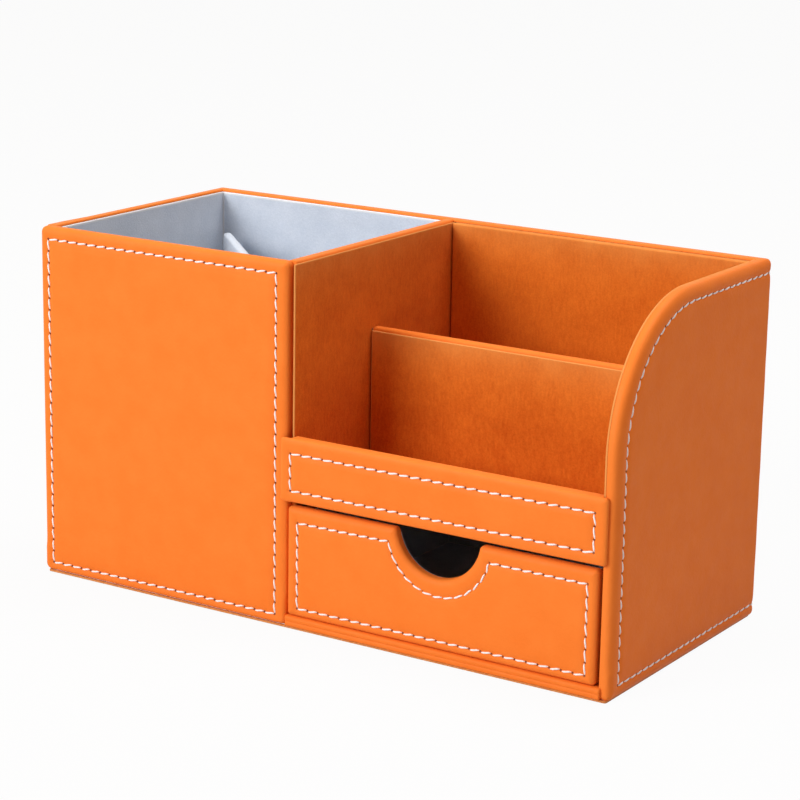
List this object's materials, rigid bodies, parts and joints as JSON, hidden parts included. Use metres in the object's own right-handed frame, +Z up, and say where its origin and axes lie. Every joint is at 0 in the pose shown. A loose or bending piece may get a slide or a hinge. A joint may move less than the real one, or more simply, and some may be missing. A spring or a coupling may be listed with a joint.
{
  "type": "desk storage box",
  "caption": "Leather-covered desk organizer: a pen cup with crossed dividers, two letter slots behind a low rail, and a drawer below them with a half-round finger cut.",
  "frame": {"origin": "middle of the footprint, on the desk surface", "axes": "+X along the width, from the pen cup to the drawer side; +Y from the front with the drawer to the back; +Z up"},
  "size_m": [0.25, 0.1162, 0.1372],
  "materials": {
    "leather": "orange grained leather, padded and stitched with white thread",
    "suede": "matt orange-brown suede card",
    "flannelette": "pale blue-grey brushed lining",
    "fibreboard": "raw fibreboard, covered all over",
    "base_sheet": "plain tan backing sheet"
  },
  "bodies": {
    "box": {"base_sheet": "base_sheet", "base_board": "fibreboard", "base_ledge_leather": "leather", "left_board": "fibreboard", "back_board": "fibreboard", "right_board": "fibreboard", "body_wrap_leather": "leather", "cup_front_board": "fibreboard", "cup_front_leather": "leather", "partition_board": "fibreboard", "partition_leather": "leather", "cup_left_lining": "flannelette", "cup_right_lining": "flannelette", "cup_front_lining": "flannelette", "cup_back_lining": "flannelette", "cup_floor_lining": "flannelette", "cup_divider_board_a": "fibreboard", "cup_divider_cover_a": "flannelette", "cup_divider_board_b": "fibreboard", "cup_divider_cover_b": "flannelette", "shelf_board": "fibreboard", "front_slot_floor": "suede", "rear_slot_floor": "suede", "partition_suede": "suede", "right_suede": "suede", "back_suede": "suede", "slot_divider_board": "fibreboard", "slot_divider_leather": "leather", "slot_divider_front_suede": "suede", "slot_divider_rear_suede": "suede", "rail_board": "fibreboard", "rail_leather": "leather", "rail_suede": "suede", "bay_right_lining": "leather"},
    "drawer": {"drawer_front_board": "fibreboard", "drawer_front_leather": "leather", "drawer_front_lining": "flannelette", "drawer_bottom_board": "fibreboard", "drawer_left_board": "fibreboard", "drawer_right_board": "fibreboard", "drawer_back_board": "fibreboard", "drawer_wrap_leather": "leather", "drawer_left_lining": "flannelette", "drawer_right_lining": "flannelette", "drawer_back_lining": "flannelette", "drawer_floor_lining": "flannelette"}
  },
  "joints": [
    {"name": "drawer_slide", "type": "slide", "parent": "box", "child": "drawer", "axis": [0, -1, 0], "range_m": [0, 0.085]}
  ]
}
